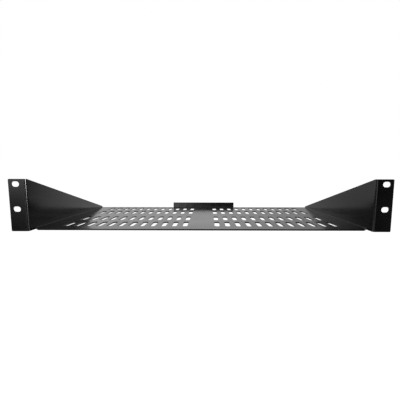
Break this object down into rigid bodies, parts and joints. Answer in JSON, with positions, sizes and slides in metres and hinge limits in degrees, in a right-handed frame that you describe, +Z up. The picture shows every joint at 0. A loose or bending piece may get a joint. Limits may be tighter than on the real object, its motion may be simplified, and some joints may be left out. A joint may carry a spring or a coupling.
{
  "type": "cantilever rack shelf",
  "caption": "Black folded-steel shelf held by its two slotted front ears, with sloping side walls, a slotted deck and a short lip at the back.",
  "frame": {"origin": "centre of the four rack slots, on the rear faces of the ears", "axes": "+X across the rack towards the right ear as seen from the front, +Y back into the rack, +Z up"},
  "size_m": [0.4826, 0.254, 0.0667],
  "materials": {
    "coated_steel": "satin"
  },
  "bodies": {
    "root": {"folded_shelf": "coated_steel"}
  },
  "joints": []
}
